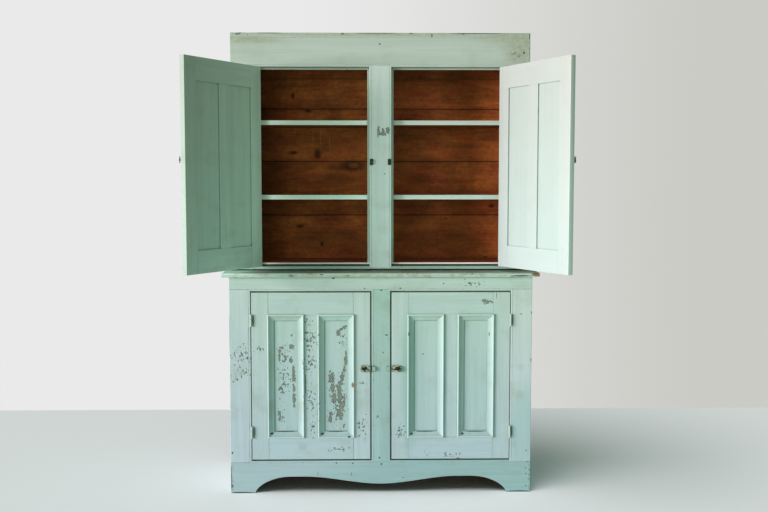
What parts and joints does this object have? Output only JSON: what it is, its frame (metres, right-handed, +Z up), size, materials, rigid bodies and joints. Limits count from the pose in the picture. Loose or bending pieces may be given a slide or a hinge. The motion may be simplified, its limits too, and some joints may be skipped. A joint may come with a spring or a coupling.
{
  "type": "step back cupboard",
  "caption": "Two-part step back cupboard: base with two panelled doors and scalloped apron, set-back upper case with two panelled doors and shelves, doors on butt hinges with slide catches",
  "frame": {"origin": "on the floor, under the middle of the base case (the middle of its width and of its depth)", "axes": "+Z up, the doors face -Y, +X to the right of someone who faces the cupboard"},
  "size_m": [1.56, 0.7637, 1.99],
  "materials": {
    "mint_paint": "old mint green paint on pine, worn and dirty at the edges",
    "cream_paint": "thin cream paint on pine",
    "brown_pine": "bare pine darkened with age",
    "hinge_iron": "iron butt hinges under mint paint, rust at the joints",
    "catch_iron": "japanned iron catch with paint traces",
    "bolt_brass": "dark tarnished brass bolt and knob"
  },
  "bodies": {
    "case": {"base_side_left": "mint_paint", "base_side_right": "mint_paint", "base_stile_left": "mint_paint", "base_stile_right": "mint_paint", "base_stile_centre": "mint_paint", "base_top_rail": "mint_paint", "base_apron": "mint_paint", "base_floor": "brown_pine", "base_shelves": "brown_pine", "base_back_boards": "brown_pine", "base_door_stops": "cream_paint", "waist_board": "mint_paint", "upper_side_left": "mint_paint", "upper_side_right": "mint_paint", "upper_stile_left": "mint_paint", "upper_stile_right": "mint_paint", "upper_stile_centre": "mint_paint", "upper_frieze": "mint_paint", "upper_bottom_rail": "mint_paint", "upper_floor": "brown_pine", "upper_shelves": "mint_paint", "upper_top_board": "mint_paint", "upper_back_boards": "brown_pine", "upper_door_stops": "cream_paint", "shelf_cleats": "brown_pine", "hinge_leaves_on_case": "hinge_iron", "hinge_pins": "hinge_iron", "catch_keepers": "catch_iron"},
    "upper_left_door": {"upper_left_door_stiles": "mint_paint", "upper_left_door_rails": "mint_paint", "upper_left_door_muntin": "mint_paint", "upper_left_door_panels": "mint_paint", "upper_left_door_moulding": "mint_paint", "upper_left_hinge_leaves": "hinge_iron", "upper_left_catch_case": "catch_iron"},
    "upper_left_bolt": {"upper_left_catch_bolt": "bolt_brass"},
    "upper_right_door": {"upper_right_door_stiles": "mint_paint", "upper_right_door_rails": "mint_paint", "upper_right_door_muntin": "mint_paint", "upper_right_door_panels": "mint_paint", "upper_right_door_moulding": "mint_paint", "upper_right_hinge_leaves": "hinge_iron", "upper_right_catch_case": "catch_iron"},
    "upper_right_bolt": {"upper_right_catch_bolt": "bolt_brass"},
    "base_left_door": {"base_left_door_stiles": "mint_paint", "base_left_door_rails": "mint_paint", "base_left_door_muntin": "mint_paint", "base_left_door_panels": "mint_paint", "base_left_door_moulding": "mint_paint", "base_left_hinge_leaves": "hinge_iron", "base_left_catch_case": "catch_iron"},
    "base_left_bolt": {"base_left_catch_bolt": "bolt_brass"},
    "base_right_door": {"base_right_door_stiles": "mint_paint", "base_right_door_rails": "mint_paint", "base_right_door_muntin": "mint_paint", "base_right_door_panels": "mint_paint", "base_right_door_moulding": "mint_paint", "base_right_hinge_leaves": "hinge_iron", "base_right_catch_case": "catch_iron"},
    "base_right_bolt": {"base_right_catch_bolt": "bolt_brass"}
  },
  "joints": [
    {"name": "upper_left_door_swing", "type": "hinge", "parent": "case", "child": "upper_left_door", "pos_m": [-0.5395, -0.1, 1.41], "axis": [0, 0, -1], "range_deg": [-121.3, 43.7]},
    {"name": "upper_left_bolt_slide", "type": "slide", "parent": "upper_left_door", "child": "upper_left_bolt", "axis": [-0.5195, -0.8545, 0], "range_m": [0, 0.013]},
    {"name": "upper_right_door_swing", "type": "hinge", "parent": "case", "child": "upper_right_door", "pos_m": [0.5395, -0.1, 1.41], "axis": [0, 0, 1], "range_deg": [-116.8, 48.2]},
    {"name": "upper_right_bolt_slide", "type": "slide", "parent": "upper_right_door", "child": "upper_right_bolt", "axis": [0.4509, -0.8926, 0], "range_m": [0, 0.013]},
    {"name": "base_left_door_swing", "type": "hinge", "parent": "case", "child": "base_left_door", "pos_m": [-0.5575, -0.22, 0.5115], "axis": [0, 0, -1], "range_deg": [0, 165]},
    {"name": "base_left_bolt_slide", "type": "slide", "parent": "base_left_door", "child": "base_left_bolt", "axis": [1, 0, 0], "range_m": [0, 0.013]},
    {"name": "base_right_door_swing", "type": "hinge", "parent": "case", "child": "base_right_door", "pos_m": [0.5575, -0.22, 0.5115], "axis": [0, 0, 1], "range_deg": [0, 165]},
    {"name": "base_right_bolt_slide", "type": "slide", "parent": "base_right_door", "child": "base_right_bolt", "axis": [-1, 0, 0], "range_m": [0, 0.013]}
  ]
}
